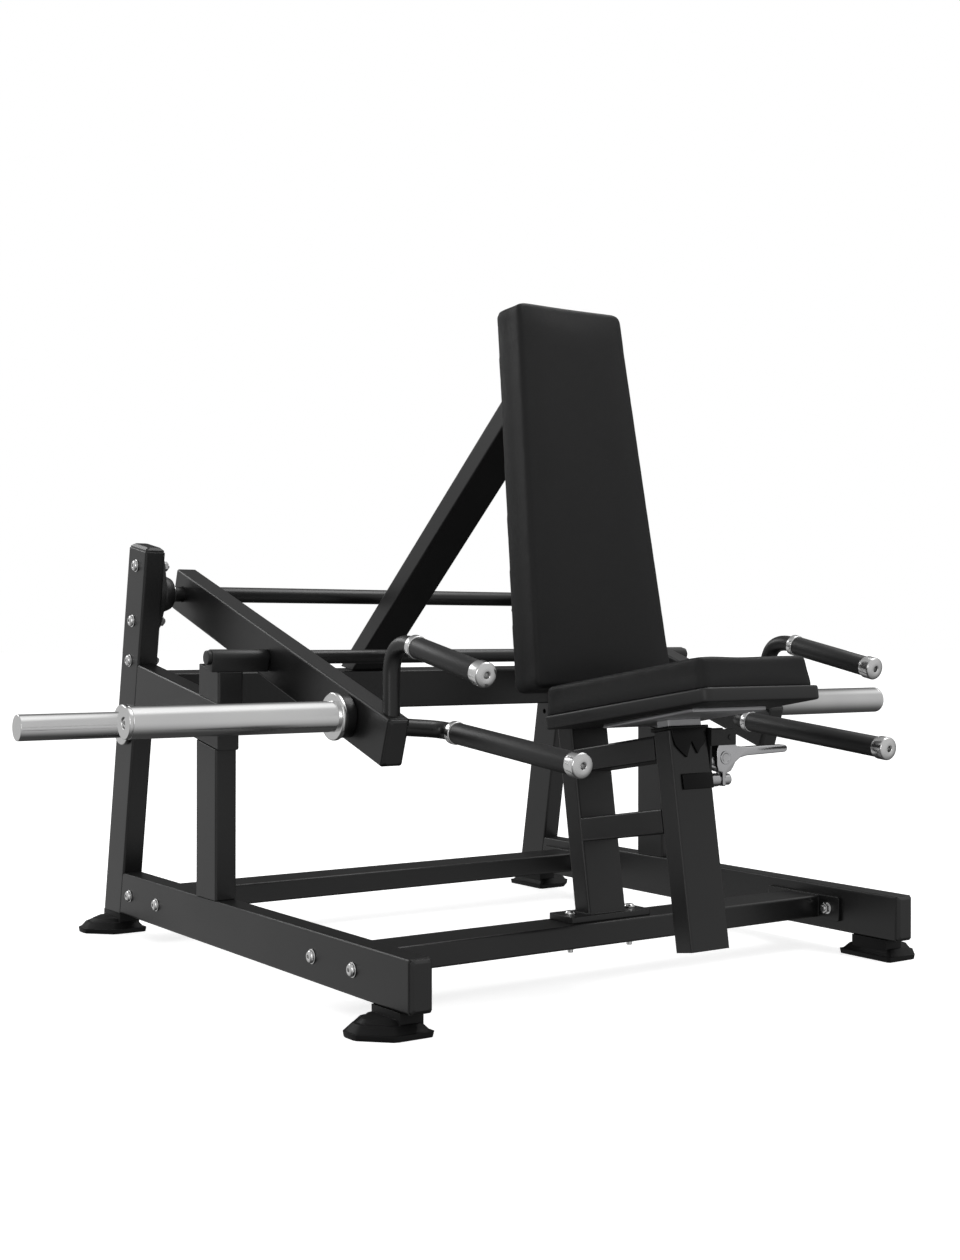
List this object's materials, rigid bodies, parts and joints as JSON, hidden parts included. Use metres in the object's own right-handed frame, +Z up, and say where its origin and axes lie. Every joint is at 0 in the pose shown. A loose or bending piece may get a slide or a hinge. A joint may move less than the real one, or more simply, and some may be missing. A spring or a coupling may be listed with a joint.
{
  "type": "plate-loaded shrug machine",
  "caption": "Plate-loaded seated shrug machine: a black tube frame carries a pivoting yoke with weight sleeves and handles, a height-adjustable seat and a tall leaning backrest.",
  "frame": {"origin": "centre of the bounding box, on the floor under the feet", "axes": "+X towards the seated user's left, -Y the way the user faces, +Z up"},
  "size_m": [1.624, 1.328, 1.1476],
  "materials": {
    "powder_coat": "semi-gloss black powder coat",
    "bright_steel": "satin bright plating",
    "rubber_grip": "matte, fine ribbed",
    "rubber_foot": "matte",
    "cast_housing": "black painted casting",
    "vinyl": "fine-grained black vinyl",
    "seat_board": "black moulded board",
    "zinc_steel": "light grey satin",
    "chrome": "polished"
  },
  "bodies": {
    "frame": {"rail_left": "powder_coat", "rail_right": "powder_coat", "upright_left": "powder_coat", "upright_right": "powder_coat", "post_left": "powder_coat", "post_right": "powder_coat", "side_beam_left": "powder_coat", "side_beam_right": "powder_coat", "stop_post_left": "powder_coat", "stop_post_right": "powder_coat", "bearing_left": "cast_housing", "bearing_right": "cast_housing", "storage_horn_left": "bright_steel", "storage_horn_right": "bright_steel", "bolt_upper_left": "bright_steel", "bolt_upper_right": "bright_steel", "bolt_base_left": "bright_steel", "bolt_base_right": "bright_steel", "foot_front_left": "rubber_foot", "foot_front_right": "rubber_foot", "foot_rear_left": "rubber_foot", "foot_rear_right": "rubber_foot", "bolt_front_left_a": "bright_steel", "bolt_front_left_b": "bright_steel", "bolt_front_right_a": "bright_steel", "bolt_front_right_b": "bright_steel", "bolt_rear_left_a": "bright_steel", "bolt_rear_left_b": "bright_steel", "bolt_rear_right_a": "bright_steel", "bolt_rear_right_b": "bright_steel", "beam_front": "powder_coat", "beam_rear": "powder_coat", "upper_beam": "powder_coat", "backrest_strut": "powder_coat", "backrest_pad": "vinyl", "seat_post": "powder_coat", "seat_guide": "powder_coat", "seat_link_upper": "powder_coat", "seat_link_lower": "powder_coat", "lever_bracket": "chrome"},
    "yoke": {"pivot_tube": "powder_coat", "stop_bar": "powder_coat", "arm_left": "powder_coat", "arm_right": "powder_coat", "weight_horn_left": "bright_steel", "weight_horn_right": "bright_steel", "handle_upper_left": "powder_coat", "handle_upper_right": "powder_coat", "handle_lower_left": "powder_coat", "handle_lower_right": "powder_coat", "grip_upper_left": "rubber_grip", "grip_upper_right": "rubber_grip", "grip_lower_left": "rubber_grip", "grip_lower_right": "rubber_grip"},
    "seat": {"seat_tube": "zinc_steel", "seat_plate": "zinc_steel", "seat_base": "seat_board", "seat_cushion": "vinyl"},
    "lever": {"release_lever": "chrome"},
    "pin": {"lock_pin": "chrome"}
  },
  "joints": [
    {"name": "yoke_pivot", "type": "hinge", "parent": "frame", "child": "yoke", "pos_m": [0, 0.492, 0.6545], "axis": [-1, 0, 0], "range_deg": [0, 36]},
    {"name": "seat_height", "type": "slide", "parent": "frame", "child": "seat", "axis": [0, 0.1599, 0.9871], "range_m": [0, 0.125]},
    {"name": "lever_pivot", "type": "hinge", "parent": "frame", "child": "lever", "pos_m": [0.08, -0.481, 0.413], "axis": [0, -1, 0], "range_deg": [0, 8], "stiffness_Nm_per_rad": 4, "springref_deg": -8.59},
    {"name": "pin_draw", "type": "slide", "parent": "frame", "child": "pin", "axis": [1, 0, 0], "range_m": [0, 0.0098]}
  ],
  "couplings": [
    {"joint": "pin_draw", "follows": "lever_pivot", "m_per_rad": 0.07}
  ]
}
